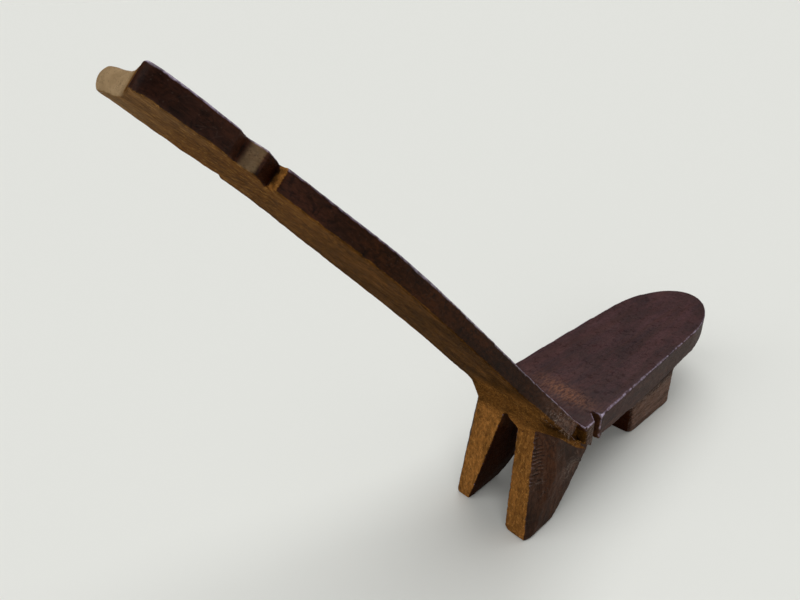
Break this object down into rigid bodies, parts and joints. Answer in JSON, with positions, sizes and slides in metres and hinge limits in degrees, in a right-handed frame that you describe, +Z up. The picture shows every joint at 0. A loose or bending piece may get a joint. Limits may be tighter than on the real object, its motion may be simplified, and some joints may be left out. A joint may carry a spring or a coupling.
{
  "type": "reclining chair",
  "caption": "Low carved wooden reclining chair: round-nosed tongue seat, long narrow leaning back with a notched neck, twin rear legs and one broad front leg.",
  "frame": {"origin": "on the floor, under the centre of the overall box", "axes": "+Z up; -Y towards the nose of the seat and +Y towards the top of the leaning back; +X towards the sitter's left"},
  "size_m": [0.198, 1.1892, 0.7717],
  "materials": {
    "dark_wood": "satin, dark handled patina",
    "brown_wood": "matte, tool-marked",
    "golden_wood": "matte, weathered"
  },
  "bodies": {
    "root": {"backrest_crest": "dark_wood", "backrest_neck": "brown_wood", "backrest_blade": "dark_wood", "hip_block": "brown_wood", "seat": "dark_wood", "rear_leg_right": "golden_wood", "rear_leg_left": "golden_wood", "front_leg": "brown_wood"}
  },
  "joints": []
}
